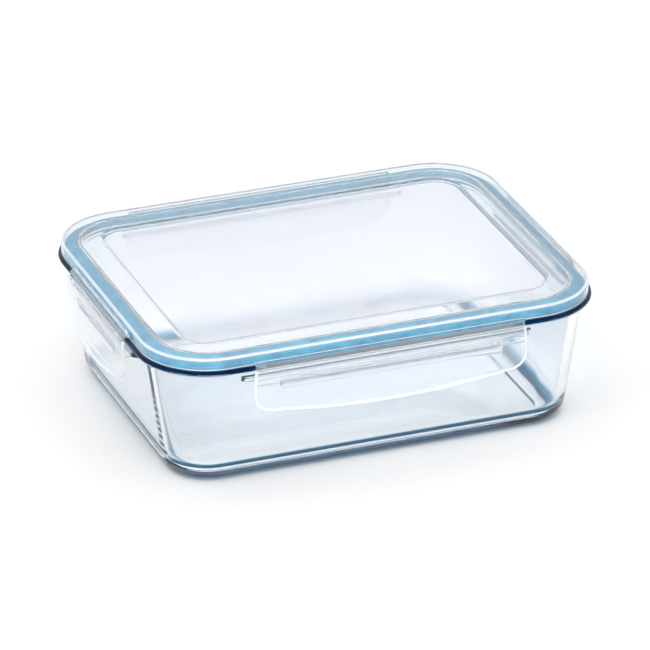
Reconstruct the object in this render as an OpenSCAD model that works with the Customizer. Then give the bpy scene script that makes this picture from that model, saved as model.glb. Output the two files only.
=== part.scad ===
// Rectangular glass food container with a clip-on lid.
// Origin: centre of the footprint on the table. +X along the long side, -Y to the front, +Z up.
// Sections are drawn as [out, z] points. "out" is measured outward from the lid's outer edge, so it
// is negative inside the lid, and one section is carried round a frame with fixed corner centres.

/* [Lid] */
// Length of the lid along X
lid_length = 210; // [160:1:260]
// Width of the lid along Y
lid_width = 163; // [120:1:210]
// Corner radius of the lid in plan
corner_radius = 31; // [26:1:45]
// Height of the lid's outer skirt
skirt_height = 5.5; // [5:0.1:9]
// Thickness of the skirt
skirt_wall = 1.2; // [0.8:0.1:1.6]
// Thickness of the lid's plate
plate_thickness = 1.4; // [1:0.1:2]
// Rounding of the lid's top edge
lid_edge_round = 1; // [0.4:0.1:1.3]
// Width of the raised border round the centre panel
border_width = 18.6; // [16:0.2:22]
// Depth of the centre panel below the border
panel_recess = 2; // [1:0.1:3]
// Width of the step between the border and the panel
step_width = 1.6; // [0.8:0.1:2.4]
// Thickness of the wall inside the seal channel
inner_wall = 1.2; // [0.8:0.1:1.6]
// Depth of that wall below the glass rim
inner_wall_drop = 2.2; // [1:0.1:4]

/* [Glass tray] */
// Height of the closed container
total_height = 65; // [50:1:100]
// How far the glass rim stands out past the lid
rim_overhang = 1.3; // [0.8:0.1:2]
// Thickness of the rim's flange
flange_thickness = 2.4; // [2:0.1:4]
// How far the wall below the flange is set back from the lid's edge
wall_setback = 2.6; // [1.8:0.1:3.2]
// Lean of the side walls, in degrees
wall_draft = 8.2; // [4:0.1:9.6]
// Thickness of the glass wall
glass_wall = 4; // [3:0.1:4.8]
// Thickness of the glass floor
floor_thickness = 3.6; // [3:0.1:7]
// Outer radius where the walls meet the base
heel_radius = 8; // [3:0.1:9]
// Inner radius where the walls meet the floor
inner_radius = 8; // [4:0.1:9]
// Width of the ring that the tray stands on
stand_ring_width = 4; // [3:0.1:5]
// Depth of the shallow hollow inside the stand ring
base_hollow = 0.7; // [0.3:0.1:1.2]

/* [Locking ledges] */
// Height of each ledge moulded on the glass
ledge_height = 2.4; // [1.6:0.1:3]
// Gap between the flange and the ledge
ledge_drop = 3.1; // [2:0.1:5]
// How much longer a ledge is than its flap
ledge_extra = 9; // [4:0.5:14]
// Rounding of the ledge's ends in plan
ledge_end_radius = 2; // [1:0.1:2.4]

/* [Seal] */
// Least width of the seal's section
seal_width = 5.8; // [4.8:0.1:6.4]
// Width of each of the seal's two lips
lip_width = 1.5; // [1:0.1:1.8]
// Width of the seal's crest, which presses against the lid
seal_crest = 1.4; // [1:0.1:3]
// Height of the seal's outer face, where its sloping back ends
seal_foot = 1.6; // [1.4:0.1:2.4]
// Depth of the groove between the lips
lip_depth = 1.2; // [0.6:0.1:1.8]

/* [Flaps] */
// Length of the front and back flaps
long_flap = 127; // [90:1:140]
// Length of the left and right flaps
short_flap = 73; // [50:1:90]
// Depth of a flap below the hinge, at its middle
flap_depth = 25; // [22:0.5:30]
// Thickness of a flap
flap_thickness = 1.6; // [1.2:0.1:2.2]
// Radius of a flap's lower corners
flap_corner = 8; // [5:0.5:10]
// How much shorter a flap is at its corners than at its middle
flap_bow = 3.4; // [1:0.2:5]
// How much wider a flap is at its corners than at its hinge, each side
flap_flare = 0.8; // [0:0.1:1.5]
// How far the finger lip leans out
lip_flare = 2; // [0.5:0.1:3]
// Thickness of the living hinge
web_thickness = 0.5; // [0.3:0.1:0.8]
// Height of the living hinge
web_height = 1.6; // [1.2:0.1:2]
// Height of the shelf on the lid that carries the hinge
shelf_height = 0.9; // [0.6:0.1:1]
// Height of the snap rib inside each flap
rib_height = 2.2; // [1.6:0.1:3]
// How far the snap rib reaches under its ledge
rib_bite = 1.4; // [0.8:0.1:1.8]
// How much shorter the snap rib is than its flap
rib_short = 24; // [16:1:30]

/* [Clearances] */
// Gap between the skirt and the glass rim
seat_gap = 0.3; // [0.1:0.1:0.6]
// Gap on each side of the seal in its channel
seal_gap = 0.2; // [0.1:0.05:0.4]
// Least gap between the glass and the wall inside the seal channel
plug_gap = 0.8; // [0.4:0.1:1]
// Gap between the flange and a closed flap
flap_gap = 0.4; // [0.3:0.1:0.8]
// Gap between the snap rib and the ledge above it
snap_gap = 0.2; // [0.1:0.05:0.4]

/* [Hidden] */

$fn = 96;
arc_steps = 6;          // straight pieces in a quarter arc of a section
outline_steps = 24;     // straight pieces in the bow of a flap
join = 0.6;             // how far a feature is sunk into the wall that carries it
shelf_rise = 0.6;       // rise of the shelf's sloping top
slope_run = 1.5;        // width of the slope at the edge of the base hollow
crease_rise = 0.4;      // height of the finger lip's crease above the flap's corners

// Corner centres, shared by every section
centre_x = lid_length / 2 - corner_radius;
centre_y = lid_width / 2 - corner_radius;

// Levels
skirt_bottom = total_height - skirt_height;
rim_top = skirt_bottom - seat_gap;
flange_bottom = rim_top - flange_thickness;
ledge_top = flange_bottom - ledge_drop;
ledge_bottom = ledge_top - ledge_height;
plate_bottom = total_height - plate_thickness;
web_bottom = skirt_bottom + shelf_height / 2 - web_height;
web_top = web_bottom + web_height;
hinge_z = (web_bottom + web_top) / 2;
rib_top = ledge_bottom - snap_gap;
inner_wall_foot = rim_top - inner_wall_drop;

// Offsets from the lid's edge. The seal and the wall inside its channel keep clear of the glass
seal_out = -skirt_wall - seal_gap;
seal_in = min(seal_out - seal_width, wall_in(inner_wall_foot) - plug_gap + seal_gap);
inner_wall_out = seal_in - seal_gap;
inner_wall_in = inner_wall_out - inner_wall;
flap_face = rim_overhang + flap_gap;
hinge_out = flap_face + web_thickness / 2;

// Glass wall at a level
function wall_out(z) = -wall_setback - (flange_bottom - z) * tan(wall_draft);
function wall_in(z) = wall_out(z) - glass_wall;

// Points of an arc of radius r about c, from angle a to angle b
function arc(c, r, a, b, steps = arc_steps) =
    [for (i = [0:steps]) c + r * [cos(a + (b - a) * i / steps), sin(a + (b - a) * i / steps)]];

// Carries a section round the frame: the corners turn it, the sides run it straight
module round_frame() {
    for (side = [0, 1]) mirror([0, side, 0]) {
        translate([-centre_x, centre_y, 0]) rotate([90, 0, 90])
            linear_extrude(2 * centre_x) children();
        translate([centre_x, centre_y, 0]) rotate_extrude(angle = 90) children();
        translate([-centre_x, centre_y, 0]) rotate([0, 0, 90]) rotate_extrude(angle = 90) children();
    }
    for (side = [0, 1]) mirror([side, 0, 0])
        translate([centre_x, centre_y, 0]) rotate([90, 0, 0])
            linear_extrude(2 * centre_y) children();
}

// Fills the middle between the four corner centres
module middle_slab(low, high) {
    translate([-centre_x, -centre_y, low]) cube([2 * centre_x, 2 * centre_y, high - low]);
}

// A section given as [out, z] points, moved so that out = 0 lies on the lid's edge
module section(points) {
    polygon([for (p = points) [p.x + corner_radius, p.y]]);
}

// Runs an [out, z] section along the lid's edge, centred on it. Its faces look to +Y
module along_edge(length, points) {
    translate([-length / 2, 0, 0]) rotate([90, 0, 90]) linear_extrude(length) polygon(points);
}

// Puts a shape made at +Y, with y = 0 on the lid's edge, on each side of the container
module on_back() translate([0, lid_width / 2, 0]) children();
module on_front() mirror([0, 1, 0]) on_back() children();
module on_right() rotate([0, 0, -90]) translate([0, lid_length / 2, 0]) children();
module on_left() mirror([1, 0, 0]) on_right() children();

module glass_tray() {
    nose = flange_thickness / 2;
    heel_z = heel_radius * (1 - sin(wall_draft));
    heel = [wall_out(heel_z) - heel_radius * cos(wall_draft), heel_radius];
    well_z = floor_thickness + inner_radius * (1 - sin(wall_draft));
    well = [wall_in(well_z) - inner_radius * cos(wall_draft), floor_thickness + inner_radius];
    neck_z = flange_bottom - join;
    ring_in = heel.x - stand_ring_width;
    color([0.8, 0.9, 0.95, 0.6]) {
        round_frame() section(concat(
            [[-corner_radius, base_hollow], [ring_in - slope_run, base_hollow], [ring_in, 0]],
            arc(heel, heel_radius, -90, -wall_draft),
            [[wall_out(neck_z), neck_z], [wall_out(neck_z) + join, flange_bottom]],
            arc([rim_overhang - nose, flange_bottom + nose], nose, -90, 90),
            [[wall_in(rim_top) + join, rim_top], [wall_in(rim_top - join), rim_top - join]],
            arc(well, inner_radius, -wall_draft, -90),
            [[-corner_radius, floor_thickness]]));
        middle_slab(base_hollow, floor_thickness);
        on_back() ledge(long_flap + ledge_extra);
        on_front() ledge(long_flap + ledge_extra);
        on_right() ledge(short_flap + ledge_extra);
        on_left() ledge(short_flap + ledge_extra);
    }
}

// Ledge on the glass that a snap rib hooks under, with rounded ends in plan
module ledge(length) {
    root = wall_out(ledge_bottom) - join;
    r = ledge_end_radius;
    translate([0, 0, ledge_bottom]) linear_extrude(ledge_height) {
        translate([-length / 2, root]) square([length, -root - r]);
        translate([r - length / 2, -r]) square([length - 2 * r, r]);
        for (end = [-1, 1]) translate([end * (length / 2 - r), -r]) circle(r);
    }
}

module lid_cover() {
    top = total_height;
    step_in = -border_width - step_width;
    color([0.92, 0.95, 1, 0.6]) {
        round_frame() section(concat(
            [[-corner_radius, plate_bottom - panel_recess], [step_in, plate_bottom - panel_recess],
             [-border_width, plate_bottom], [inner_wall_in, plate_bottom],
             [inner_wall_in, inner_wall_foot], [inner_wall_out, inner_wall_foot],
             [inner_wall_out, plate_bottom], [-skirt_wall, plate_bottom],
             [-skirt_wall, skirt_bottom], [0, skirt_bottom]],
            arc([-lid_edge_round, top - lid_edge_round], lid_edge_round, 0, 90),
            [[-border_width, top], [step_in, top - panel_recess], [-corner_radius, top - panel_recess]]));
        middle_slab(plate_bottom - panel_recess, top - panel_recess);
        on_back() hinge_shelf(long_flap);
        on_front() hinge_shelf(long_flap);
        on_right() hinge_shelf(short_flap);
        on_left() hinge_shelf(short_flap);
    }
}

// Shelf that stands out from the skirt and carries a living hinge
module hinge_shelf(length) {
    edge = flap_face + web_thickness;
    along_edge(length, [[-join, web_top], [edge, web_top], [edge, web_top + shelf_height],
                        [0, web_top + shelf_height + shelf_rise],
                        [-join, web_top + shelf_height + shelf_rise]]);
}

// Seal with a crest at its inner edge, a back that slopes down to the skirt and two lips below
module seal_ring() {
    groove = rim_top + lip_depth;
    lip_in = wall_in(rim_top) + join;
    color([0.55, 0.76, 0.87])
        round_frame() section([
            [seal_out, rim_top + seal_foot],
            [seal_in + seal_crest, plate_bottom], [seal_in, plate_bottom], [seal_in, groove],
            [lip_in, groove], [lip_in, rim_top], [lip_in + lip_width, rim_top],
            [lip_in + lip_width, groove], [seal_out - lip_width, groove],
            [seal_out - lip_width, rim_top], [seal_out, rim_top]]);
}

// Outline of a flap seen from outside, as [along, z] points: straight hinge edge, flared
// sides, round lower corners and a bowed lower edge
function flap_outline(length) =
    let (foot = hinge_z - flap_depth,
         reach = length / 2 + flap_flare - flap_corner,
         bow_radius = (reach * reach + flap_bow * flap_bow) / (2 * flap_bow),
         swing = asin(reach / (bow_radius - flap_corner)),
         corner_z = foot + bow_radius - (bow_radius - flap_corner) * cos(swing))
    concat([[-length / 2, web_bottom]],
           arc([-reach, corner_z], flap_corner, 180, 270 - swing),
           arc([0, foot + bow_radius], bow_radius, -90 - swing, -90 + swing, outline_steps),
           arc([reach, corner_z], flap_corner, -90 + swing, 0),
           [[length / 2, web_bottom]]);

// A flap at +Y: its section run along the edge and cut to the outline
module flap(length) {
    foot = hinge_z - flap_depth;
    crease = foot + flap_bow + crease_rise;
    face = flap_face;
    back = flap_face + flap_thickness;
    span = length + 4 * flap_corner;
    color([0.94, 0.96, 1, 0.6]) intersection() {
        along_edge(span, [
            [face, web_bottom], [face, crease], [face + lip_flare, foot - join],
            [back + lip_flare, foot - join], [back, crease],
            [back, web_bottom - (flap_thickness - web_thickness) / 2], [face + web_thickness, web_bottom]]);
        translate([0, back + lip_flare + join, 0]) rotate([90, 0, 0])
            linear_extrude(flap_thickness + lip_flare + 2 * join) polygon(flap_outline(length));
    }
}

// Thin strip that joins a flap to its shelf and bends when the flap opens
module hinge_web(length) {
    color([0.9, 0.94, 1, 0.6])
        along_edge(length, [[flap_face, web_bottom], [flap_face + web_thickness, web_bottom],
                            [flap_face + web_thickness, web_top], [flap_face, web_top]]);
}

// Rib inside a flap that hooks under the glass ledge
module snap_rib(length) {
    tip = -rib_bite;
    nose = rib_height / 4;
    color([0.88, 0.93, 1, 0.6])
        along_edge(length - rib_short, [
            [flap_face, rib_top], [tip + nose, rib_top], [tip, rib_top - nose],
            [tip, rib_top - 2 * nose], [flap_face, rib_top - rib_height - nose]]);
}

glass_tray();
lid_cover();
seal_ring();
on_front() flap(long_flap);  // flap_front
on_back() flap(long_flap);  // flap_back
on_left() flap(short_flap);  // flap_left
on_right() flap(short_flap);  // flap_right
on_front() hinge_web(long_flap);  // hinge_web_front
on_back() hinge_web(long_flap);  // hinge_web_back
on_left() hinge_web(short_flap);  // hinge_web_left
on_right() hinge_web(short_flap);  // hinge_web_right
on_front() snap_rib(long_flap);  // snap_rib_front
on_back() snap_rib(long_flap);  // snap_rib_back
on_left() snap_rib(short_flap);  // snap_rib_left
on_right() snap_rib(short_flap);  // snap_rib_right
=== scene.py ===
import math
import bmesh
import bpy
import numpy as np
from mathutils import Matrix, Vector


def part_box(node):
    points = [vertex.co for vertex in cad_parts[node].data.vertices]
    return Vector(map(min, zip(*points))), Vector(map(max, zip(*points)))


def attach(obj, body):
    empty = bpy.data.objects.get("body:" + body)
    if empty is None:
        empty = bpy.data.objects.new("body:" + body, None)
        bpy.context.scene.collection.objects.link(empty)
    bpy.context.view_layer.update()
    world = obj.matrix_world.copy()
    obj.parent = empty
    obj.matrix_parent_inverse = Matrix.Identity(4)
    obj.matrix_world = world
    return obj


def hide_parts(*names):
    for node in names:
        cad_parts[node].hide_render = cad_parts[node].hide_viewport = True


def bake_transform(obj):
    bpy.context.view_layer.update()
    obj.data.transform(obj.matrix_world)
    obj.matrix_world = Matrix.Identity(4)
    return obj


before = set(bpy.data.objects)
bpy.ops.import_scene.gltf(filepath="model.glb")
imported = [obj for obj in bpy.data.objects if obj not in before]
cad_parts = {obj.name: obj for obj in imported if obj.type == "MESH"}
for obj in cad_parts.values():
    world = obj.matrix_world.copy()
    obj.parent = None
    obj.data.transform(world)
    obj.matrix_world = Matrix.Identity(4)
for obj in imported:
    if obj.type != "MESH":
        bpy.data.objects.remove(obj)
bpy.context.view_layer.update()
mm = 0.001


def boxOf(node):
    # lowest and highest corner of a CAD node, in millimetres
    low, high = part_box(node)
    return np.array(low) / mm, np.array(high) / mm


trayHigh = boxOf("glass_tray")[1]
lidLow, lidHigh = boxOf("lid_cover")
sealLow, sealHigh = boxOf("seal_ring")
webLow, webHigh = boxOf("hinge_web_back")
ribLow, ribHigh = boxOf("snap_rib_back")
flapHalf = webHigh[0]                               # half the length of the long flaps
sideFlapHalf = boxOf("hinge_web_right")[1][1]       # of the short flaps
sideRibHalf = boxOf("snap_rib_right")[1][1]         # and of their ribs

lidEdge = {
    "sealInset": 1.4,           # from the lid's edge to the seal's outer face
    "cornerRadius": 31.0,       # of the lid's edge in plan
}
spacing = {                     # of the cross sections round the container
    "flat": 9, "corner": 28,                # over half a straight side, and round a corner
    "beforeCorner": (0.4, 1.5, 4.0),        # extra ones on the straight side, measured from its corner
    "atEnd": 8,                             # over the rounded end of a ledge or a shelf
    "pastEnd": 0.15, "insideEnd": 0.2, "closest": 0.04,
}
halfLong = sealHigh[0] + lidEdge["sealInset"]       # half the lid's length
halfWide = sealHigh[1] + lidEdge["sealInset"]
cornerX = halfLong - lidEdge["cornerRadius"]        # the corner centres that every section turns about
cornerY = halfWide - lidEdge["cornerRadius"]
rimTop = trayHigh[2]
lidTop = lidHigh[2]
print("measures:", round(halfLong, 2), round(halfWide, 2), round(rimTop, 2), round(lidTop, 2))


def roundedSection(corners, perCorner=7, support=0.25):
    # Corners are [out, z, radius]. Each corner becomes an arc that touches both of its sides: the arc's
    # centre lies at radius / sin(half the angle) along the bisector. A support point on each side of the
    # arc keeps the shading of the flat stretches flat. The two ends stay as they are.
    points = [np.array(corners[0][:2], float)]
    for before, here, after in zip(corners, corners[1:], corners[2:]):
        p = np.array(here[:2], float)
        toBefore = np.array(before[:2], float) - p
        toAfter = np.array(after[:2], float) - p
        reachBefore, reachAfter = np.linalg.norm(toBefore), np.linalg.norm(toAfter)
        u, v = toBefore / reachBefore, toAfter / reachAfter
        angle = math.acos(np.clip(u @ v, -1, 1))
        radius = here[2]
        tangent = radius / math.tan(angle / 2)
        centre = p + (u + v) / np.linalg.norm(u + v) * radius / math.sin(angle / 2)
        first, last = p + u * tangent - centre, p + v * tangent - centre
        turn = math.atan2(first[0] * last[1] - first[1] * last[0], first @ last)
        angles = math.atan2(first[1], first[0]) + turn * np.linspace(0, 1, perCorner)
        arc = centre + radius * np.stack([np.cos(angles), np.sin(angles)], 1)
        spareBefore = min(support, (reachBefore - tangent) * 0.3)
        spareAfter = min(support, (reachAfter - tangent) * 0.3)
        points += [arc[0] + u * spareBefore, *arc, arc[-1] + v * spareAfter]
    points.append(np.array(corners[-1][:2], float))
    return np.array(points)


def framePath(longStops, wideStops):
    # The path round the lid's edge, anticlockwise from the right side's front end: on a side the centre
    # slides and the direction stays, and at a corner the centre stays and the direction turns through
    # 90 degrees. A point at "out" is centre + direction * (corner radius + out).
    # Also gives, for each step, how far along its side it is, and which side (0 right, 1 back,
    # 2 left, 3 front, -1 a corner).
    centres, directions, along, side = [], [], [], []
    halves = [cornerY, cornerX, cornerY, cornerX]
    stops = [wideStops, longStops, wideStops, longStops]
    for k in range(4):
        out = np.array([[1, 0], [0, 1], [-1, 0], [0, -1]][k], float)
        ahead = np.array([-out[1], out[0]])
        middle = out * [cornerX, cornerY]
        s = np.unique(np.concatenate([-stops[k], stops[k]]))
        s = np.concatenate([[-halves[k]], s[np.abs(s) < halves[k] - 0.1], [halves[k]]])
        centres.append(middle + s[:, None] * ahead)
        directions.append(np.repeat(out[None], len(s), 0))
        along.append(s)
        side.append(np.full(len(s), k))
        turn = np.linspace(0, math.pi / 2, spacing["corner"] + 1)[1:-1]
        corner = middle + halves[k] * ahead
        centres.append(np.repeat(corner[None], len(turn), 0))
        directions.append(np.cos(turn)[:, None] * out + np.sin(turn)[:, None] * ahead)
        along.append(np.full(len(turn), halves[k]))
        side.append(np.full(len(turn), -1))
    return {
        "centre": np.concatenate(centres), "direction": np.concatenate(directions),
        "along": np.concatenate(along), "side": np.concatenate(side),
    }


def sideStops(half, *ends):
    # Stops along one side, from its middle out: a few over the flat stretch, close ones just before the
    # corner, and a cluster round each feature's end.
    stops = [np.linspace(0, half, spacing["flat"]), half - np.array(spacing["beforeCorner"])]
    for end, spread in ends:
        stops.append(end - spread * (1 - np.sin(np.linspace(0, math.pi / 2, spacing["atEnd"]))))
        stops.append([end + spacing["pastEnd"], end - spread - spacing["insideEnd"]])
    stops = np.unique(np.round(np.concatenate(stops), 2))
    return stops[np.concatenate([[True], np.diff(stops) > spacing["closest"]])]


def sweep(path, outs, heights, closed):
    # Vertex (i, j) = path centre i + direction i * (corner radius + out j), at height j. The grid closes
    # round the path, and round the section too if closed is true.
    outs = np.broadcast_to(outs, (len(path["side"]), np.shape(outs)[-1]))
    heights = np.broadcast_to(heights, outs.shape)
    reach = (lidEdge["cornerRadius"] + outs)[..., None]
    flat = path["centre"][:, None] + path["direction"][:, None] * reach
    grid = np.concatenate([flat, heights[..., None]], 2)
    return grid.reshape(-1, 3), gridFaces(*outs.shape, True, closed)


def gridFaces(rows, columns, rowsClose, columnsClose):
    # Quads of a grid whose vertex (i, j) is number i * columns + j
    i = np.arange(rows if rowsClose else rows - 1)[:, None]
    j = np.arange(columns if columnsClose else columns - 1)[None]
    ahead, right = (i + 1) % rows, (j + 1) % columns
    quads = np.stack([i * columns + j, ahead * columns + j, ahead * columns + right,
                      i * columns + right], -1)
    return quads.reshape(-1, 4)


def makeMesh(name, vertices, faces, materials, body, stands=(), recalculate=False, finish=None):
    # Vertices are in millimetres, and faces may mix quads and larger rings. "finish" gives the number of
    # each face's material; faces past its end take the first one
    mesh = bpy.data.meshes.new(name)
    mesh.from_pydata((np.asarray(vertices) * mm).tolist(), [], [list(map(int, f)) for f in faces])
    mesh.shade_smooth()
    piece = bpy.data.objects.new(name, mesh)
    bpy.context.scene.collection.objects.link(piece)
    for material in materials:
        mesh.materials.append(material)
    if finish is not None:
        numbers = np.zeros(len(faces), np.int32)
        numbers[:len(finish)] = finish
        mesh.polygons.foreach_set("material_index", numbers)
    if recalculate:
        form = bmesh.new()
        form.from_mesh(mesh)
        bmesh.ops.recalc_face_normals(form, faces=form.faces)
        form.to_mesh(mesh)
        form.free()
    turnOut(mesh)
    if body:
        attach(piece, body)
    if stands:
        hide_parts(*stands)
    return piece


def turnOut(mesh):
    # The sum of a . (b x c) over the triangles is six times the volume: if it is negative, the faces point
    # inwards and all are turned over
    corners = np.empty(len(mesh.vertices) * 3)
    mesh.vertices.foreach_get("co", corners)
    corners = corners.reshape(-1, 3)
    mesh.calc_loop_triangles()
    triangles = np.empty(len(mesh.loop_triangles) * 3, int)
    mesh.loop_triangles.foreach_get("vertices", triangles)
    a, b, c = corners[triangles.reshape(-1, 3)].transpose(1, 0, 2)
    if np.einsum("ij,ij->i", a, np.cross(b, c)).sum() < 0:
        mesh.flip_normals()
    mesh.update()


def newMaterial(name):
    # A material with an empty node tree
    material = bpy.data.materials.new(name)
    material.use_nodes = True
    tree = material.node_tree
    tree.nodes.clear()
    return material, tree


def node(tree, kind, **values):
    # A new node; each value goes to the input of that name or, if it has none, to the node's own setting
    made = tree.nodes.new(kind)
    for key, value in values.items():
        if key in made.inputs:
            made.inputs[key].default_value = value
        else:
            setattr(made, key, value)
    return made


def finePattern(tree, scale, detail, stretch=(1, 1, 1), roughness=0.5):
    # Noise on the object's own coordinates, stretched along an axis where the finish has a direction
    place = node(tree, "ShaderNodeTexCoord")
    mapping = node(tree, "ShaderNodeMapping")
    mapping.inputs["Scale"].default_value = stretch
    noise = node(tree, "ShaderNodeTexNoise", Scale=scale, Detail=detail, Roughness=roughness)
    tree.links.new(place.outputs["Object"], mapping.inputs["Vector"])
    tree.links.new(mapping.outputs["Vector"], noise.inputs["Vector"])
    return noise.outputs["Fac"]


def ramp(tree, source, low, high, fromLow=0.3, fromHigh=0.7):
    # Carries a pattern in a straight line from one range to another, clamped at both ends
    carry = node(tree, "ShaderNodeMapRange")
    carry.inputs["From Min"].default_value = fromLow
    carry.inputs["From Max"].default_value = fromHigh
    carry.inputs["To Min"].default_value = low
    carry.inputs["To Max"].default_value = high
    tree.links.new(source, carry.inputs["Value"])
    return carry.outputs["Result"]


def bumpFrom(tree, height, distance):
    # Leans the surface's normal by the slope of height * distance
    bump = node(tree, "ShaderNodeBump", Strength=1.0, Distance=distance)
    tree.links.new(height, bump.inputs["Height"])
    return bump.outputs["Normal"]


def letLampsThrough(tree, shader, tint):
    # Lamps reach through clear stuff with a little loss, where a traced caustic would be grainy
    output = node(tree, "ShaderNodeOutputMaterial")
    path = node(tree, "ShaderNodeLightPath")
    through = node(tree, "ShaderNodeBsdfTransparent")
    through.inputs["Color"].default_value = (*tint, 1)
    mix = node(tree, "ShaderNodeMixShader")
    tree.links.new(path.outputs["Is Shadow Ray"], mix.inputs[0])
    tree.links.new(shader, mix.inputs[1])
    tree.links.new(through.outputs[0], mix.inputs[2])
    tree.links.new(mix.outputs[0], output.inputs["Surface"])
    return output


def pressedGlass(name, look):
    # Clear glass with the faint waviness of pressing and the odd wipe mark. Its colour runs from clear
    # through the half colour to the deep colour as the painted edge shade attribute goes from 0 to 1:
    # painted shade, a dark blue line where the glass is seen edge on. mirrorTint colours what it mirrors
    # face on.
    material, tree = newMaterial(name)
    shader = node(tree, "ShaderNodeBsdfPrincipled")
    edgeShade = node(tree, "ShaderNodeAttribute", attribute_name="paintedEdgeShade")
    tone = node(tree, "ShaderNodeValToRGB")
    stops = tone.color_ramp.elements
    stops[0].color = (1, 1, 1, 1)
    stops[1].color = (*look["deepShadeColour"], 1)
    middle = stops.new(0.5)
    middle.color = (*look["halfShadeColour"], 1)
    tree.links.new(edgeShade.outputs["Fac"], tone.inputs["Fac"])
    tree.links.new(tone.outputs["Color"], shader.inputs["Base Color"])
    shader.inputs["Transmission Weight"].default_value = 1
    shader.inputs["IOR"].default_value = look["ior"]
    # a mirror tint other than white darkens and colours the reflections; on the edge glass this is painted
    # shade
    shader.inputs["Specular Tint"].default_value = (*look["mirrorTint"], 1)
    wave = finePattern(tree, look["waveScale"], 2)
    wipes = finePattern(tree, look["wipeScale"], 4, look["wipeStretch"])
    wiped = ramp(tree, wipes, 0.0, look["wipeRoughness"], *look["wipeRange"])
    tree.links.new(wiped, shader.inputs["Roughness"])
    tree.links.new(bumpFrom(tree, wave, look["waveDepth"] * mm), shader.inputs["Normal"])
    output = letLampsThrough(tree, shader.outputs[0], look["shadowTint"])
    absorb = node(tree, "ShaderNodeVolumeAbsorption")
    absorb.inputs["Color"].default_value = (*look["bodyColour"], 1)
    absorb.inputs["Density"].default_value = look["bodyDensity"]
    tree.links.new(absorb.outputs[0], output.inputs["Volume"])
    return material


def clearPlastic(name, look):
    # Clear polypropylene: slightly milky, with faint flow lines and fine handling marks
    material, tree = newMaterial(name)
    shader = node(tree, "ShaderNodeBsdfPrincipled")
    shader.inputs["Base Color"].default_value = (*look["colour"], 1)
    shader.inputs["Transmission Weight"].default_value = look["clear"]
    shader.inputs["IOR"].default_value = look["ior"]
    flow = finePattern(tree, look["flowScale"], 3, look["flowStretch"])
    marks = finePattern(tree, look["markScale"], 6, (1, 1, 1), 0.7)
    tree.links.new(ramp(tree, marks, look["roughLow"], look["roughHigh"]), shader.inputs["Roughness"])
    tree.links.new(bumpFrom(tree, flow, look["flowDepth"] * mm), shader.inputs["Normal"])
    letLampsThrough(tree, shader.outputs[0], look["shadowTint"])
    return material


def softSilicone(look):
    # Satin silicone: blue that a dusty mottle blends from deep to pale, with light scattered equally far
    # in every colour just under the surface
    material, tree = newMaterial("softSilicone")
    shader = node(tree, "ShaderNodeBsdfPrincipled")
    dust = finePattern(tree, look["dustScale"], 5)
    blend = node(tree, "ShaderNodeMix", data_type="RGBA")
    blend.inputs[6].default_value = (*look["deep"], 1)
    blend.inputs[7].default_value = (*look["pale"], 1)
    tree.links.new(ramp(tree, dust, 0, 1), blend.inputs[0])
    tree.links.new(blend.outputs[2], shader.inputs["Base Color"])
    tree.links.new(ramp(tree, dust, look["roughLow"], look["roughHigh"]), shader.inputs["Roughness"])
    grain = finePattern(tree, look["grainScale"], 2)
    tree.links.new(bumpFrom(tree, grain, look["grainDepth"] * mm), shader.inputs["Normal"])
    shader.inputs["Subsurface Weight"].default_value = look["softness"]
    shader.inputs["Subsurface Radius"].default_value = (1.0, 1.0, 1.0)
    shader.inputs["Subsurface Scale"].default_value = look["softReach"] * mm
    output = node(tree, "ShaderNodeOutputMaterial")
    tree.links.new(shader.outputs[0], output.inputs["Surface"])
    return material


glassLook = {
    "ior": 1.5, "waveScale": 38, "waveDepth": 0.05,
    "wipeScale": 30, "wipeStretch": (1, 6, 1), "wipeRange": (0.5, 0.8), "wipeRoughness": 0.03,
    "bodyColour": (0.55, 0.70, 0.82), "bodyDensity": 10, "shadowTint": (0.96, 0.98, 0.99),
    # the half and deep colours are the painted shade of the glass's edges
    "halfShadeColour": (0.015, 0.22, 0.45), "deepShadeColour": (0.0, 0.009, 0.06), "mirrorTint": (1, 1, 1),
}
shadedEdgeGlassLook = {**glassLook, "mirrorTint": (0.02, 0.24, 0.60)}     # the rim's nose and the heel, whose reflections the dark blue mirror tint dims: painted shade
lidLook = {
    "colour": (0.95, 0.97, 0.985), "clear": 0.97, "ior": 1.46, "flowScale": 14, "flowStretch": (1, 3, 1),
    "flowDepth": 0.02, "markScale": 90, "roughLow": 0.02, "roughHigh": 0.07,
    "shadowTint": (0.97, 0.98, 0.99),
}
panelLook = {
    "colour": (0.93, 0.93, 0.97), "clear": 0.76, "ior": 1.46, "flowScale": 9, "flowStretch": (1, 2, 1),
    "flowDepth": 0.02, "markScale": 70, "roughLow": 0.06, "roughHigh": 0.16,
    "shadowTint": (0.97, 0.98, 0.99),
}
# milkier plastic for the rounded edges, a painted highlight along them
milkyHighlightLook = {
    "colour": (0.95, 0.97, 1.0), "clear": 0.45, "ior": 1.46, "flowScale": 18, "flowStretch": (1, 1, 4),
    "flowDepth": 0.02, "markScale": 110, "roughLow": 0.12, "roughHigh": 0.25,
    "shadowTint": (0.95, 0.96, 0.98),
}
flapLook = {
    "colour": (0.97, 0.985, 1.0), "clear": 0.90, "ior": 1.46, "flowScale": 18, "flowStretch": (1, 1, 4),
    "flowDepth": 0.02, "markScale": 110, "roughLow": 0.05, "roughHigh": 0.14,
    "shadowTint": (0.97, 0.98, 0.99),
}
siliconeLook = {
    "deep": (0.0, 0.17, 0.32), "pale": (0.04, 0.34, 0.50), "dustScale": 160, "roughLow": 0.38,
    "roughHigh": 0.55, "grainScale": 900, "grainDepth": 0.01, "softness": 0.15, "softReach": 1.0,
}
glassMaterial = pressedGlass("pressedGlass", glassLook)
shadedEdgeGlassMaterial = pressedGlass("edgeGlassPaintedShade", shadedEdgeGlassLook)
lidMaterial = clearPlastic("lidPlastic", lidLook)
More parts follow.
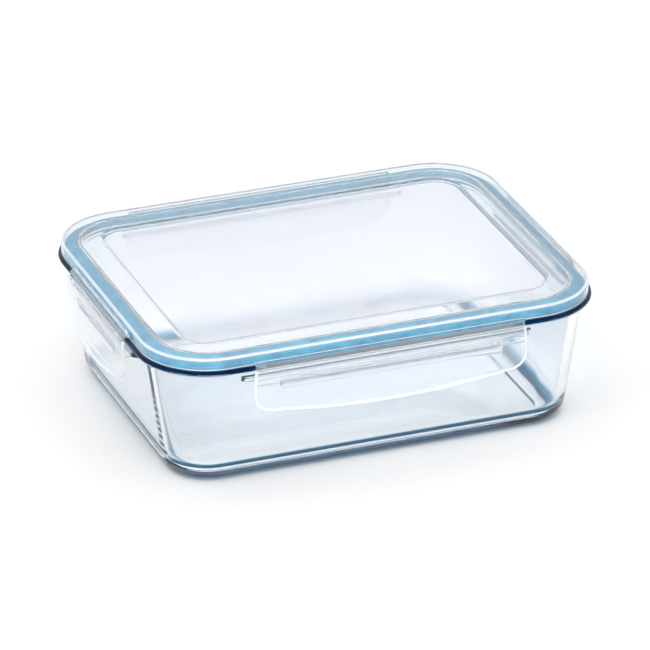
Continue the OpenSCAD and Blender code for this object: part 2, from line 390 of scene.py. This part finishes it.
flapMaterial = clearPlastic("flapPlastic", flapLook)
milkyHighlightMaterial = clearPlastic("milkyEdgeHighlight", milkyHighlightLook)          # the mouldings' rounded edges: milkier plastic, a painted highlight
panelMaterial = clearPlastic("lidPanelPlastic", panelLook)  # the lid's middle, misty with fine scuffs
siliconeMaterial = softSilicone(siliconeLook)
print("materials made")


tray = {
    "overhang": trayHigh[0] - halfLong,     # of the rim past the lid's edge
    "flange": 2.4, "noseRadius": 1.15,
    "underFlange": 0.2, "underRadius": 1.3,     # where the flange's underside meets the wall
    "setback": 2.6, "draft": 8.2,           # of the wall under the flange, and its lean in degrees
    "wall": 4.0, "floor": 3.6, "rimRadius": 1.0,
    "heelRadius": 8.0, "innerRadius": 8.0,
    "hollow": 0.7, "hollowRadius": 1.2,     # how far the middle is off the table, and its edge's radius
    "standRing": 4.0, "standSlope": 1.5, "standRadius": 0.9,
    "ledgeHeight": 2.4, "ledgeDrop": 3.1, "ledgeExtra": 4.5, "ledgeEnd": 2.5,
    "ledgeRows": 15, "ledgeLead": 0.3, "aboveLedge": 0.6, "belowLedge": 4.0,    # rows of the mesh round it
    "middle": 27.0,                         # inset where the section ends and the flat middle begins
}
paintedShadeAtEdges = {                                # painted shade along the glass's edges, as shares from 0 to 1
    # a painted dark line on the rim's nose, fainter where a flap covers it
    "rimShade": 1.0, "rimShadeBehindFlap": 0.2,
    "noseStart": -1.6, "noseFull": -0.8,    # offsets between which the nose's painted shade rises
    "noseFoot": 0.5, "noseFade": 0.4,       # its foot's height over the flange's underside, and its fade
    "flapInside": 1.0, "flapOutside": 1.5,  # the fade at the ends of a flap
    "innerRimShade": 0.35, "innerFade": 0.8,
    "baseShade": 0.5, "baseShare": 0.8,     # round the heel, over this share of its radius
    "baseLine": (-0.2, 0.0, 3.0, 5.4),      # heights where it starts, is full, starts to fade and ends
}


def wallOut(z):
    # Outer wall's offset: the setback under the flange, and the lean below it
    return -tray["setback"] - (rimTop - tray["flange"] - z) * math.tan(math.radians(tray["draft"]))


def endRounding(along, half, radius):
    # 1 over a feature's length, falling to 0 along a quarter circle at its end
    past = np.clip((np.abs(along) - (half - radius)) / radius, 0, 1)
    return np.sqrt(1 - past ** 2)


def featureMask(path, half, halfSide, radius):
    # How far a feature stands out at each step of the path, as a share of its full reach
    halves = np.where(path["side"] % 2 == 1, half, halfSide)
    return np.where(path["side"] < 0, 0, endRounding(path["along"], halves, radius))


def bulge(count, power=5):
    # Section of a rounded bar: heights run as -cos, and the reach follows a superellipse of that power
    share = -np.cos(np.linspace(0, math.pi, count))
    return share, (1 - np.abs(share) ** power) ** (1 / power)


def easeStep(x, low, high):
    # 0 below low, 1 above high, and 3t^2 - 2t^3 between them
    t = np.clip((x - low) / (high - low), 0, 1)
    return t * t * (3 - 2 * t)


def paintedEdgeShade(path, outs, heights):
    # Painted shade where the glass is seen edge on: the nose of the rim, most of all where no flap covers
    # it, the rim's inner edge, and a line round the heel. Each is a product of eased steps, and the deepest
    # one counts.
    foot = rimTop - tray["flange"] + paintedShadeAtEdges["noseFoot"]
    nose = easeStep(outs, paintedShadeAtEdges["noseStart"], paintedShadeAtEdges["noseFull"])
    nose *= easeStep(heights, foot, foot + paintedShadeAtEdges["noseFade"])
    halves = np.where(path["side"] % 2 == 1, flapHalf, sideFlapHalf)
    along = np.abs(path["along"])
    bare = easeStep(along, halves - paintedShadeAtEdges["flapInside"], halves + paintedShadeAtEdges["flapOutside"])
    bare = np.where(path["side"] < 0, 1, bare)
    shown = paintedShadeAtEdges["rimShadeBehindFlap"] + (paintedShadeAtEdges["rimShade"] - paintedShadeAtEdges["rimShadeBehindFlap"]) * bare
    fade = paintedShadeAtEdges["innerFade"]
    corner = wallOut(rimTop) - tray["wall"]
    inner = easeStep(outs, corner - fade, corner) * (1 - easeStep(outs, corner + fade, corner + 2 * fade))
    inner *= easeStep(heights, rimTop - 2 * fade, rimTop - fade)
    start, full, thin, end = paintedShadeAtEdges["baseLine"]
    heel = easeStep(heights, start, full) * (1 - easeStep(heights, thin, end))
    heel *= outs > wallOut(0) - tray["heelRadius"] * paintedShadeAtEdges["baseShare"]
    return np.maximum.reduce([
        nose * shown[:, None], inner * paintedShadeAtEdges["innerRimShade"], heel * paintedShadeAtEdges["baseShade"]])


def buildTray():
    # One section, carried round the container: under the floor, up the outer wall, over the rim and down
    # the inner wall. At the ledge's rows the wall's offset is scaled by 1 - mask * bar section.
    flangeLow = rimTop - tray["flange"]
    inward = lambda z: wallOut(z) - tray["wall"]
    ledgeTop = flangeLow - tray["ledgeDrop"]
    ledgeMiddle = ledgeTop - tray["ledgeHeight"] / 2
    heelFlat = wallOut(0) - tray["heelRadius"]
    plainTop, plainFoot = ledgeMiddle - tray["belowLedge"], ledgeTop + tray["aboveLedge"]
    flangeFoot = flangeLow - tray["underFlange"]
    below = roundedSection([
        [-tray["middle"], tray["hollow"]],
        [heelFlat - tray["standRing"] - tray["standSlope"], tray["hollow"], tray["hollowRadius"]],
        [heelFlat - tray["standRing"], 0, tray["standRadius"]],
        [wallOut(0), 0, tray["heelRadius"]],
        [wallOut(plainTop), plainTop]], 9)
    above = roundedSection([
        [wallOut(plainFoot), plainFoot],
        [wallOut(flangeFoot), flangeFoot, tray["underRadius"]],
        [tray["overhang"], flangeLow, tray["noseRadius"]],
        [tray["overhang"], rimTop, tray["noseRadius"]],
        [inward(rimTop), rimTop, tray["rimRadius"]],
        [inward(tray["floor"]), tray["floor"], tray["innerRadius"]],
        [-tray["middle"], tray["floor"]]], 9)
    share, reach = bulge(tray["ledgeRows"])
    barHeights = ledgeMiddle + share * tray["ledgeHeight"] / 2
    barLead = barHeights[0] - tray["ledgeLead"]
    heights = np.concatenate([below[:, 1], [barLead], barHeights, above[:, 1]])
    ledgeHalf, sideLedgeHalf = flapHalf + tray["ledgeExtra"], sideFlapHalf + tray["ledgeExtra"]
    path = framePath(sideStops(cornerX, (ledgeHalf, tray["ledgeEnd"])),
                     sideStops(cornerY, (sideLedgeHalf, tray["ledgeEnd"])))
    mask = featureMask(path, ledgeHalf, sideLedgeHalf, tray["ledgeEnd"])
    bar = wallOut(barHeights)[None] * (1 - mask[:, None] * reach)
    steps = len(mask)
    outs = np.concatenate([
        np.tile(below[:, 0], (steps, 1)), np.full((steps, 1), wallOut(barLead)), bar,
        np.tile(above[:, 0], (steps, 1))], 1)
    vertices, faces = sweep(path, outs, heights, False)
    columns = outs.shape[1]
    rings = [np.arange(steps)[::-1] * columns, np.arange(steps) * columns + columns - 1]
    # painted shade along the edges, kept on the vertices for the glass's colour
    edgeShade = paintedEdgeShade(path, outs, np.broadcast_to(heights, outs.shape)).astype(np.float32)
    # columns deep in painted shade take the edge glass, whose tinted reflections are painted shade too
    deep = edgeShade.max(0) > (paintedShadeAtEdges["innerRimShade"] + paintedShadeAtEdges["baseShade"]) / 2
    number = np.where(deep[:-1] & deep[1:], 1, 0)
    glass = makeMesh("trayGlass", vertices, [*faces, *rings], [glassMaterial, shadedEdgeGlassMaterial], "tray",
                     ["glass_tray"], finish=[*np.tile(number, steps), 0, 0])
    glass.data.attributes.new("paintedEdgeShade", "FLOAT", "POINT").data.foreach_set("value", edgeShade.ravel())


buildTray()
print("tray made")


lid = {
    "plate": 1.4, "skirt": 1.2, "skirtHeight": 5.5, "edgeRadius": 1.0, "footRadius": 0.3,
    "border": 18.6, "step": 1.6, "recess": 2.0, "stepRadius": 2.1,
    "channelWall": 1.2, "channelFoot": lidLow[2], "channelOut": 7.4,
    "channelRadius": 0.5, "wallFootRadius": 0.4,
    "shelfHeight": 0.9, "shelfRise": 0.9, "shelfEnd": 0.5,
    "aboveShelf": 2.4, "belowShelf": 0.1,   # where the outer face's rows stop: under the top, and the shelf
    "middle": 27.0,                         # inset where the section ends and the flat middle begins
    "milkyHighlightIn": 1.3, "milkyHighlightDown": 0.8,       # how far the milkier plastic of the painted highlight reaches on the top edge, as shares of its radius
    "milkyHighlightFoot": 0.45, "milkyHighlightSlack": 0.05,  # and how far up the skirt's foot, and past its inner face
}


def buildLid():
    # One section, carried round the lid: over the top, down the outer face, round the hinge shelf, and back
    # along the underside through the seal's channel. The shelf stands out by mask * its section.
    skirtLow = lidTop - lid["skirtHeight"]
    roof = lidTop - lid["plate"]
    panelIn = -lid["border"] - lid["step"]
    wallIn = -lid["channelOut"] - lid["channelWall"]
    top = roundedSection([
        [-lid["middle"], lidTop - lid["recess"]],
        [panelIn, lidTop - lid["recess"], lid["stepRadius"]],
        [-lid["border"], lidTop, lid["stepRadius"]],
        [0, lidTop, lid["edgeRadius"]],
        [0, lidTop - lid["aboveShelf"]]], 7)
    under = roundedSection([
        [0, webHigh[2] - lid["belowShelf"]],
        [0, skirtLow, lid["footRadius"]],
        [-lid["skirt"], skirtLow, lid["footRadius"]],
        [-lid["skirt"], roof, lid["footRadius"]],
        [-lid["channelOut"], roof, lid["footRadius"]],
        [-lid["channelOut"], lid["channelFoot"], lid["wallFootRadius"]],
        [wallIn, lid["channelFoot"], lid["wallFootRadius"]],
        [wallIn, roof, lid["channelRadius"]],
        [-lid["border"], roof, lid["stepRadius"]],
        [panelIn, roof - lid["recess"], lid["stepRadius"]],
        [-lid["middle"], roof - lid["recess"]]], 5)
    # the shelf's section, from its sloping top to its flat foot: [share of its reach, height over the foot]
    brow = lid["shelfHeight"]
    shelf = np.array([
        [0.0, lid["shelfRise"] + brow], [0.86, brow + 0.08], [0.95, brow], [1.0, brow - 0.15],
        [1.0, 0.15], [0.97, 0.04], [0.92, 0.0], [0.0, 0.0]])
    shelfReach, shelfHeights = shelf[:, 0] * (webHigh[1] - halfWide), shelf[:, 1] + webHigh[2]
    path = framePath(sideStops(cornerX, (flapHalf, lid["shelfEnd"])),
                     sideStops(cornerY, (sideFlapHalf, lid["shelfEnd"])))
    mask = featureMask(path, flapHalf, sideFlapHalf, lid["shelfEnd"])
    steps = len(mask)
    outs = np.concatenate([np.tile(top[:, 0], (steps, 1)), mask[:, None] * shelfReach,
                           np.tile(under[:, 0], (steps, 1))], 1)
    heights = np.concatenate([top[:, 1], shelfHeights, under[:, 1]])
    vertices, faces = sweep(path, outs, heights, False)
    columns = outs.shape[1]
    rings = [np.arange(steps)[::-1] * columns, np.arange(steps) * columns + columns - 1]
    widest = outs.max(0)
    radius = lid["edgeRadius"]
    # the painted highlight: milkier plastic round the top edge and along the skirt's foot
    milkyHighlight = (widest > -radius * lid["milkyHighlightIn"]) & (heights > lidTop - radius * lid["milkyHighlightDown"])
    milkyHighlight |= (widest > -lid["skirt"] - lid["milkyHighlightSlack"]) & (heights < skirtLow + lid["milkyHighlightFoot"])
    middle = widest < -lid["border"] - lid["step"] / 2
    number = np.where(milkyHighlight[:-1] & milkyHighlight[1:], 1, np.where(middle[:-1] & middle[1:], 2, 0))
    makeMesh("lidMoulding", vertices, [*faces, *rings], [lidMaterial, milkyHighlightMaterial, panelMaterial], "lid",
             ["lid_cover"], finish=[*np.tile(number, steps), 2, 2])


buildLid()
print("lid made")


seal = {
    "crest": 1.4, "foot": 1.6,              # the crest's width, and the outer face's height
    "lip": 1.5, "lipDepth": 1.2, "lipInset": 0.6,
    "crestRadius": 0.6, "shoulderRadius": 0.5, "innerRadius": 0.4,
    "lipRadius": 0.45, "grooveRadius": 0.3, "pocketRadius": 0.25,
    "air": 0.03, "sideAir": 0.2,            # over and under it, and beside the channel's wall
}


def buildSeal():
    # A closed section of rounded corners carried round the channel: a crest at its inner edge, a back that
    # slopes down to the skirt, and two lips below
    out = -lidEdge["sealInset"]
    inner = -lid["channelOut"] + seal["sideAir"]
    top, foot = sealHigh[2] - seal["air"], sealLow[2] + seal["air"]
    groove = foot + seal["lipDepth"]
    lipIn = wallOut(rimTop) - tray["wall"] + seal["lipInset"]
    corners = [
        [out, foot + seal["foot"], seal["shoulderRadius"]],
        [inner + seal["crest"], top, seal["crestRadius"]],
        [inner, top, seal["innerRadius"]],
        [inner, groove, seal["innerRadius"]],
        [lipIn, groove, seal["pocketRadius"]],
        [lipIn, foot, seal["lipRadius"]],
        [lipIn + seal["lip"], foot, seal["lipRadius"]],
        [lipIn + seal["lip"], groove, seal["grooveRadius"]],
        [out - seal["lip"], groove, seal["grooveRadius"]],
        [out - seal["lip"], foot, seal["lipRadius"]],
        [out, foot, seal["lipRadius"]]]
    ring = roundedSection([corners[-1], *corners, corners[0]], 5)[1:-1]
    path = framePath(sideStops(cornerX), sideStops(cornerY))
    vertices, faces = sweep(path, ring[:, 0], ring[:, 1], True)
    makeMesh("siliconeSeal", vertices, faces, [siliconeMaterial], "lid", ["seal_ring"])


buildSeal()
print("seal made")


flap = {
    "thick": 1.6, "edgeShade": 25.0, "corner": 8.0, "bow": 3.4, "flare": 0.8, "lipFlare": 2.0,
    "creaseRise": 0.4,
    "ease": 1.2,                            # height over which the lip's crease is eased
    "ribNose": 0.45, "ribSlope": 1.6, "ribFall": 0.04, "ribEnd": 1.2,
    "sideRows": (1.4, 3.2, 5.2),            # rows of the mesh above the rib, measured from the top
    "aboveCorner": 1.0,                     # and the last one above the corner's arc
    "cornerPoints": 20, "bowPoints": 26, "edgePoints": 11, "support": 0.3,
    "columns": 17, "widest": 0.96,          # even columns, and the share of the width that they span
    "ribColumns": (-0.9, -0.5, -0.2, 0, 0.3),       # more round each end of the rib, in lengths of that end
}
hingeHeight = (webLow[2] + webHigh[2]) / 2
flapFace = webLow[1] - halfWide             # offset of a flap's inner face from the lid's edge
sides = {
    "back": {"turn": 0.0, "edge": halfWide, "half": flapHalf, "ribHalf": ribHigh[0]},
    "left": {"turn": math.pi / 2, "edge": halfLong, "half": sideFlapHalf, "ribHalf": sideRibHalf},
    "front": {"turn": math.pi, "edge": halfWide, "half": flapHalf, "ribHalf": ribHigh[0]},
    "right": {"turn": -math.pi / 2, "edge": halfLong, "half": sideFlapHalf, "ribHalf": sideRibHalf},
}


def placed(points, place):
    # From the back side's own axes (along, out, z) to the container's: shifted out to the lid's edge, then
    # turned about z
    x, y = points[:, 0], points[:, 1] + place["edge"]
    c, s = math.cos(place["turn"]), math.sin(place["turn"])
    return np.stack([x * c - y * s, x * s + y * c, points[:, 2]], 1)


def ribSection():
    # Rows of the snap rib from its top down, as [reach from the flap's face, height]: a flat top that
    # hooks under the ledge, a round nose and a sloping underside
    reach, top = flapFace - ribLow[1] + halfWide, ribHigh[2]
    return roundedSection([
        [0, top], [reach, top - flap["ribFall"], flap["ribNose"]],
        [reach, ribLow[2] + flap["ribSlope"], flap["ribNose"]], [0, ribLow[2]]], 5, flap["support"])


def flapOutline(half, inset, rib):
    # Right half of the outline from the hinge's end down to the middle of the lower edge, drawn in by
    # "inset": a flared side, a corner arc and the bow, which is a large circle touching the corner arc
    foot, top = hingeHeight - flap["edgeShade"], webLow[2]
    reach = half + flap["flare"] - flap["corner"]
    bow = (reach ** 2 + flap["bow"] ** 2) / (2 * flap["bow"])
    swing = math.asin(reach / (bow - flap["corner"]))
    cornerZ = foot + bow - (bow - flap["corner"]) * math.cos(swing)
    radius = flap["corner"] - inset
    sideZ = np.concatenate([
        [top - inset], top - np.array(flap["sideRows"]), rib[:, 1], [cornerZ + flap["aboveCorner"]]])
    sideX = half - inset + flap["flare"] * np.sin((top - sideZ) / (top - cornerZ) * math.pi / 2)
    a = np.linspace(0, -math.pi / 2 + swing, flap["cornerPoints"])
    b = np.linspace(-math.pi / 2 + swing, -math.pi / 2, flap["bowPoints"])[1:]
    x = np.concatenate([sideX, reach + radius * np.cos(a), (bow - inset) * np.cos(b)])
    z = np.concatenate([sideZ, cornerZ + radius * np.sin(a), foot + bow + (bow - inset) * np.sin(b)])
    return np.stack([x, z], 1)


def leanOut(z):
    # The finger lip: below the crease the plate leans out in a straight line, and over the first "ease"
    # of height in a parabola that joins it smoothly
    foot = hingeHeight - flap["edgeShade"]
    crease = foot + flap["bow"] + flap["creaseRise"] + flap["ease"] / 2
    below = np.clip(crease - z, 0, None)
    slope = flap["lipFlare"] / (crease - foot)
    return slope * np.where(below < flap["ease"], below ** 2 / (2 * flap["ease"]), below - flap["ease"] / 2)


def buildFlap(name):
    # The free edges are the outline carried round a half circle from the outer face to the inner one.
    # Strips of rows fill what it encloses: up the outer face, over the hinge edge and down the inner
    # face, where the rows of the snap rib stand in towards the glass. Point (row, column) is the row's
    # right end times the column's share, from -1 at the left edge to 1 at the right.
    place = sides[name]
    half, ribHalf, halfThick = place["half"], place["ribHalf"], flap["thick"] / 2
    rib = ribSection()
    turns = np.linspace(0, math.pi, flap["edgePoints"])
    flat = [halfThick + flap["support"]]
    insets = np.concatenate([flat, halfThick * (1 - np.sin(turns)), flat])
    lifts = np.concatenate([[1], np.cos(turns), [-1]]) * flap["thick"] / 2
    right = np.array([flapOutline(half, inset, rib) for inset in insets])
    rings, count = right.shape[:2]
    points = 2 * count - 1
    loops = np.concatenate([right, right[:, :-1][:, ::-1] * [-1, 1]], 1)
    shell = np.stack([loops[..., 0], np.repeat(lifts[:, None], points, 1), loops[..., 1]], -1)
    # rows of the strips: which ring and which outline point they end on
    m = np.arange(count - 1)
    ring = np.concatenate([
        np.zeros(count - 1, int), np.arange(1, rings - 1), np.full(count - 1, rings - 1)])
    point = np.concatenate([m[::-1], np.zeros(rings - 2, int), m])
    ends = right[ring, point]
    clusters = ribHalf / half + np.array(flap["ribColumns"]) * flap["ribEnd"] / half
    even = np.linspace(-flap["widest"], flap["widest"], flap["columns"])
    share = np.unique(np.concatenate([even, clusters, -clusters]))
    columns = len(share)
    strips = np.empty((len(ring), columns, 3))
    strips[..., 0] = ends[:, 0, None] * share
    strips[..., 1] = lifts[ring][:, None]
    strips[..., 2] = ends[:, 1, None]
    reach = np.zeros(count - 1)
    firstRow = len(flap["sideRows"]) + 1
    reach[firstRow:firstRow + len(rib)] = rib[:, 0]
    inner = slice(len(ring) - (count - 1), None)
    strips[inner, :, 1] -= reach[:, None] * endRounding(strips[inner, :, 0], ribHalf, flap["ribEnd"])
    left, rightEnd = ring * points + points - 1 - point, ring * points + point
    numbers = rings * points + np.arange(len(ring) * columns).reshape(len(ring), columns)
    numbers = np.concatenate([left[:, None], numbers, rightEnd[:, None]], 1)
    quads = np.stack([numbers[:-1, :-1], numbers[1:, :-1], numbers[1:, 1:], numbers[:-1, 1:]], -1)
    outerTip, innerTip = count - 1, (rings - 1) * points + count - 1
    fans = [[outerTip, numbers[0, k], numbers[0, k + 1]] for k in range(columns + 1)]
    fans += [[numbers[-1, k], innerTip, numbers[-1, k + 1]] for k in range(columns + 1)]
    vertices = np.concatenate([shell.reshape(-1, 3), strips.reshape(-1, 3)])
    vertices[:, 1] += flapFace + flap["thick"] / 2 + leanOut(vertices[:, 2])
    edges = gridFaces(rings, points, False, False)
    faces = [*edges, *quads.reshape(-1, 4), *fans]
    # the free edges take the milkier plastic, a painted highlight along them
    makeMesh(name + "Flap", placed(vertices, place), faces, [flapMaterial, milkyHighlightMaterial], name + "_latch",
             ["flap_" + name, "snap_rib_" + name], True, np.ones(len(edges)))


web = {
    "tuck": 0.3,                            # how far it runs into the flap
    "rows": 13, "columns": 15, "waist": 0.25, "outward": 0.02, "endGap": 0.4,
}


def buildWeb(name):
    # The living hinge, where the real flap bends: a thin strip, carried straight along the flap, between
    # the lid and the flap. Its half thickness is thick / 2 * (1 - waist * sine), thinnest half way up.
    place = sides[name]
    thick = webHigh[1] - webLow[1]
    z = np.linspace(webLow[2] - web["tuck"], webHigh[2] + web["tuck"] / 2, web["rows"])
    waist = thick / 2 * (1 - web["waist"] * np.sin(np.linspace(0, math.pi, web["rows"])))
    middle = flapFace + thick / 2 + web["outward"]
    section = np.concatenate([np.stack([middle + waist, z], 1), np.stack([middle - waist, z], 1)[::-1]])
    x = np.linspace(-1, 1, web["columns"]) * (place["half"] - web["endGap"])
    vertices = np.empty((len(x), len(section), 3))
    vertices[..., 0] = x[:, None]
    vertices[..., 1], vertices[..., 2] = section[:, 0], section[:, 1]
    faces = [*gridFaces(len(x), len(section), False, True), np.arange(len(section)),
             np.arange(len(section))[::-1] + (len(x) - 1) * len(section)]
    strip = makeMesh(name + "Hinge", placed(vertices.reshape(-1, 3), place), faces, [flapMaterial], None,
                     ["hinge_web_" + name], True)
    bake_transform(strip)


for name in sides:
    buildFlap(name)
    buildWeb(name)
print("flaps and hinges made")


ground = {
    "half": 6.0, "drop": 0.0002,            # metres
    "tones": (0.90, 0.92), "roughness": 0.9, "mottleScale": 3,
}


def buildFloor():
    # A wide pale square just under the container, whose grey runs between two tones with a faint mottle
    half, z = ground["half"], -ground["drop"]
    mesh = bpy.data.meshes.new("studioFloor")
    mesh.from_pydata([(-half, -half, z), (half, -half, z), (half, half, z), (-half, half, z)], [],
                     [(0, 1, 2, 3)])
    floor = bpy.data.objects.new("studioFloor", mesh)
    bpy.context.scene.collection.objects.link(floor)
    material, tree = newMaterial("paleFloor")
    shader = node(tree, "ShaderNodeBsdfPrincipled", Roughness=ground["roughness"])
    shade = node(tree, "ShaderNodeMix", data_type="RGBA")
    for socket, tone in zip((6, 7), ground["tones"]):
        shade.inputs[socket].default_value = (tone, tone, tone, 1)
    tree.links.new(finePattern(tree, ground["mottleScale"], 2), shade.inputs[0])
    tree.links.new(shade.outputs[2], shader.inputs["Base Color"])
    output = node(tree, "ShaderNodeOutputMaterial")
    tree.links.new(shader.outputs[0], output.inputs["Surface"])
    mesh.materials.append(material)


softBoxes = {
    "keyLight": {"place": (-0.7, -0.9, 1.6), "target": (0, 0, 0.03), "size": (1.0, 1.0), "power": 11},
    "frontFill": {"place": (-0.9, -1.9, 0.5), "target": (0, 0, 0.05), "size": (1.2, 0.8), "power": 9},
}


def softBox(name, place, target, size, power):
    # A rectangular lamp at place, in metres, with its face turned along target - place
    data = bpy.data.lights.new(name, "AREA")
    data.shape = "RECTANGLE"
    data.size, data.size_y = size
    data.energy = power
    data.cycles.use_multiple_importance_sampling = False    # only shadow rays look for it
    lamp = bpy.data.objects.new(name, data)
    lamp.location = place
    lamp.rotation_euler = (Vector(target) - Vector(place)).to_track_quat("-Z", "Y").to_euler()
    bpy.context.scene.collection.objects.link(lamp)


studio = {
    "sky": (1.0, 1.0, 1.0), "wall": (0.04, 0.22, 0.42), "strength": 1.0,
    "wallTop": 0.02, "skyFrom": 0.30,       # heights, as the sine of the elevation
    "bounces": 24, "layers": 32,            # of one ray, and clear layers that a shadow ray may pass
}


def buildWorld():
    # White sky over a low dark blue wall, with the colour running from one to the other in a straight line
    # between two heights. Clear edges pick the wall up.
    world = bpy.data.worlds.new("studio")
    world.use_nodes = True
    tree = world.node_tree
    back = tree.nodes["Background"]
    place = node(tree, "ShaderNodeTexCoord")
    split = node(tree, "ShaderNodeSeparateXYZ")
    tree.links.new(place.outputs["Generated"], split.inputs[0])
    rise = ramp(tree, split.outputs["Z"], 0, 1, studio["wallTop"], studio["skyFrom"])
    tone = node(tree, "ShaderNodeMix", data_type="RGBA")
    tone.inputs[6].default_value = (*studio["wall"], 1)
    tone.inputs[7].default_value = (*studio["sky"], 1)
    tree.links.new(rise, tone.inputs[0])
    tree.links.new(tone.outputs[2], back.inputs["Color"])
    back.inputs["Strength"].default_value = studio["strength"]
    scene = bpy.context.scene
    scene.world = world
    scene.cycles.max_bounces = studio["bounces"]
    scene.cycles.transmission_bounces = studio["bounces"]
    scene.cycles.glossy_bounces = studio["bounces"]
    scene.cycles.transparent_max_bounces = studio["layers"]
    world.cycles.sampling_method = "NONE"   # bounced rays find the sky, through the clear parts too


view = {
    "azimuth": -20.95, "elevation": 25.67,      # degrees, seen from the left of the front
    "distance": 2751.0, "target": (0.0, -2.5, 32.6), "lens": 338.9, "sensor": 36,
    "nearest": 0.1, "furthest": 50,             # metres
}


def buildCamera():
    # The camera stands at target + distance * (sin a cos e, -cos a cos e, sin e) and looks back along it
    a, e = math.radians(view["azimuth"]), math.radians(view["elevation"])
    back = Vector((math.sin(a) * math.cos(e), -math.cos(a) * math.cos(e), math.sin(e)))
    data = bpy.data.cameras.new("camera")
    data.sensor_width, data.lens = view["sensor"], view["lens"]
    camera = bpy.data.objects.new("camera", data)
    camera.location = (Vector(view["target"]) + back * view["distance"]) * mm
    camera.rotation_euler = (-back).to_track_quat("-Z", "Y").to_euler()
    data.clip_start, data.clip_end = view["nearest"], view["furthest"]
    bpy.context.scene.collection.objects.link(camera)
    bpy.context.scene.camera = camera


buildFloor()
buildWorld()
for name, box in softBoxes.items():
    softBox(name, **box)
buildCamera()
bpy.context.scene.view_settings.view_transform = "Standard"
print("stage made")
